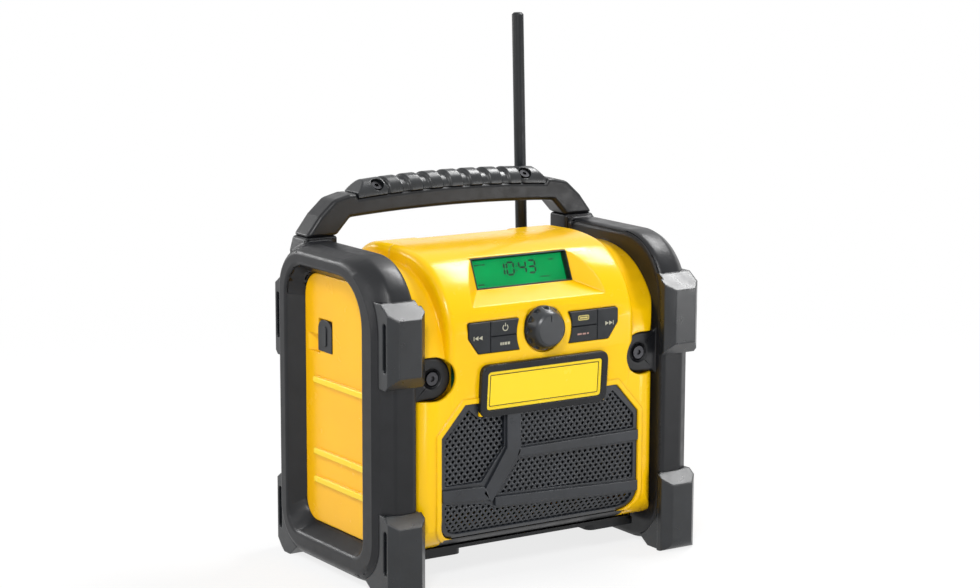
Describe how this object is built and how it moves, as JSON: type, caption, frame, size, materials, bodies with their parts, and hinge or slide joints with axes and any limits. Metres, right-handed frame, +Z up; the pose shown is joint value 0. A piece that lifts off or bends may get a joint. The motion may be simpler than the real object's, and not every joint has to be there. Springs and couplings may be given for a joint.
{
  "type": "jobsite radio",
  "caption": "Compact jobsite radio: yellow housing in a black roll cage with corner bumpers, top handle, green display, rotary knob, keys, speaker grille, whip antenna and rear battery.",
  "frame": {"origin": "on the floor, in the middle of the footprint", "axes": "+X to the right seen from the front, the front faces -Y, +Z up"},
  "size_m": [0.254, 0.1616, 0.3675],
  "materials": {
    "housing_yellow": "moulded ABS, fine orange-peel gloss",
    "panel_yellow": "moulded ABS, fine orange-peel gloss",
    "cage_black": "glass-filled nylon, fine spark texture",
    "bumper_black": "overmoulded rubber, satin",
    "handle_black": "glass-filled nylon, fine spark texture",
    "grip_black": "ribbed soft grip, satin",
    "base_black": "moulded plastic",
    "bezel_black": "fine texture",
    "display_glass": "clear polished window",
    "display_green": "lit liquid-crystal panel",
    "key_black": "silicone keys, satin",
    "knob_black": "overmoulded fluted knob",
    "shaft_metal": "turned",
    "encoder_metal": "stamped can",
    "board_green": "solder mask",
    "switch_black": "moulded",
    "screw_steel": "black zinc",
    "badge_black": "satin surround",
    "badge_yellow": "bare name plate",
    "grille_black": "perforated moulding, satin",
    "baffle_black": "moulded",
    "speaker_steel": "stamped basket",
    "cone_paper": "pressed paper cone",
    "magnet_ferrite": "ferrite with plated yoke",
    "dock_black": "glass-filled nylon",
    "terminal_brass": "tinned blade",
    "battery_black": "battery case, fine texture",
    "latch_yellow": "release button",
    "antenna_black": "rubber-coated whip",
    "collar_black": "moulded collar",
    "jack_black": "moulded socket",
    "cover_black": "soft dust cover"
  },
  "bodies": {
    "housing": {"antenna_base": "collar_black", "antenna_rod": "antenna_black", "aux_jack": "jack_black", "badge_frame": "badge_black", "badge_plate": "badge_yellow", "base_tray": "base_black", "battery_dock": "dock_black", "battery_terminals": "terminal_brass", "board_screws": "screw_steel", "cage_screws": "screw_steel", "dc_inlet": "jack_black", "display_bezel": "bezel_black", "display_lens": "display_glass", "encoder_body": "encoder_metal", "front_housing": "housing_yellow", "handle": "handle_black", "handle_grip": "grip_black", "handle_screws": "screw_steel", "housing_screws": "screw_steel", "lcd_panel": "display_green", "left_cage": "cage_black", "left_front_lower_bumper": "bumper_black", "left_front_upper_bumper": "bumper_black", "left_rear_lower_bumper": "bumper_black", "left_rear_upper_bumper": "bumper_black", "left_side_panel": "panel_yellow", "left_speaker_cone": "cone_paper", "left_speaker_frame": "speaker_steel", "left_speaker_magnet": "magnet_ferrite", "main_board": "board_green", "rear_housing": "housing_yellow", "right_cage": "cage_black", "right_front_lower_bumper": "bumper_black", "right_front_upper_bumper": "bumper_black", "right_rear_lower_bumper": "bumper_black", "right_rear_upper_bumper": "bumper_black", "right_side_panel": "panel_yellow", "right_speaker_cone": "cone_paper", "right_speaker_frame": "speaker_steel", "right_speaker_magnet": "magnet_ferrite", "speaker_baffle": "baffle_black", "speaker_grille": "grille_black", "tact_switches": "switch_black"},
    "knob": {"tuning_knob": "knob_black", "encoder_shaft": "shaft_metal"},
    "aux_cover": {"aux_cover": "cover_black"},
    "dc_cover": {"dc_cover": "cover_black"},
    "battery": {"battery_pack": "battery_black"},
    "battery_button": {"battery_latch": "latch_yellow"},
    "left_seek_key": {"left_seek_key": "key_black"},
    "left_upper_key": {"left_upper_key": "key_black"},
    "left_lower_key": {"left_lower_key": "key_black"},
    "right_seek_key": {"right_seek_key": "key_black"},
    "right_upper_key": {"right_upper_key": "key_black"},
    "right_lower_key": {"right_lower_key": "key_black"}
  },
  "joints": [
    {"name": "knob_turn", "type": "hinge", "parent": "housing", "child": "knob", "pos_m": [0, -0.0735, 0.1676], "axis": [0, -1, 0], "continuous": true},
    {"name": "left_seek_press", "type": "slide", "parent": "housing", "child": "left_seek_key", "axis": [0, 1, 0], "range_m": [0, 0.001], "stiffness_N_per_m": 1500},
    {"name": "left_upper_press", "type": "slide", "parent": "housing", "child": "left_upper_key", "axis": [0, 1, 0], "range_m": [0, 0.001], "stiffness_N_per_m": 1500},
    {"name": "left_lower_press", "type": "slide", "parent": "housing", "child": "left_lower_key", "axis": [0, 1, 0], "range_m": [0, 0.001], "stiffness_N_per_m": 1500},
    {"name": "right_seek_press", "type": "slide", "parent": "housing", "child": "right_seek_key", "axis": [0, 1, 0], "range_m": [0, 0.001], "stiffness_N_per_m": 1500},
    {"name": "right_upper_press", "type": "slide", "parent": "housing", "child": "right_upper_key", "axis": [0, 1, 0], "range_m": [0, 0.001], "stiffness_N_per_m": 1500},
    {"name": "right_lower_press", "type": "slide", "parent": "housing", "child": "right_lower_key", "axis": [0, 1, 0], "range_m": [0, 0.001], "stiffness_N_per_m": 1500},
    {"name": "aux_cover_hinge", "type": "hinge", "parent": "housing", "child": "aux_cover", "pos_m": [-0.1156, 0.013, 0.15875], "axis": [0, 0, 1], "range_deg": [0, 100]},
    {"name": "dc_cover_hinge", "type": "hinge", "parent": "housing", "child": "dc_cover", "pos_m": [0.066, 0.0636, 0.0712], "axis": [1, 0, 0], "range_deg": [0, 100]},
    {"name": "battery_slide", "type": "slide", "parent": "housing", "child": "battery", "axis": [0, 0, 1], "range_m": [0, 0.06]},
    {"name": "battery_button_press", "type": "slide", "parent": "battery", "child": "battery_button", "axis": [0, -1, 0], "range_m": [0, 0.0025], "stiffness_N_per_m": 2500}
  ]
}
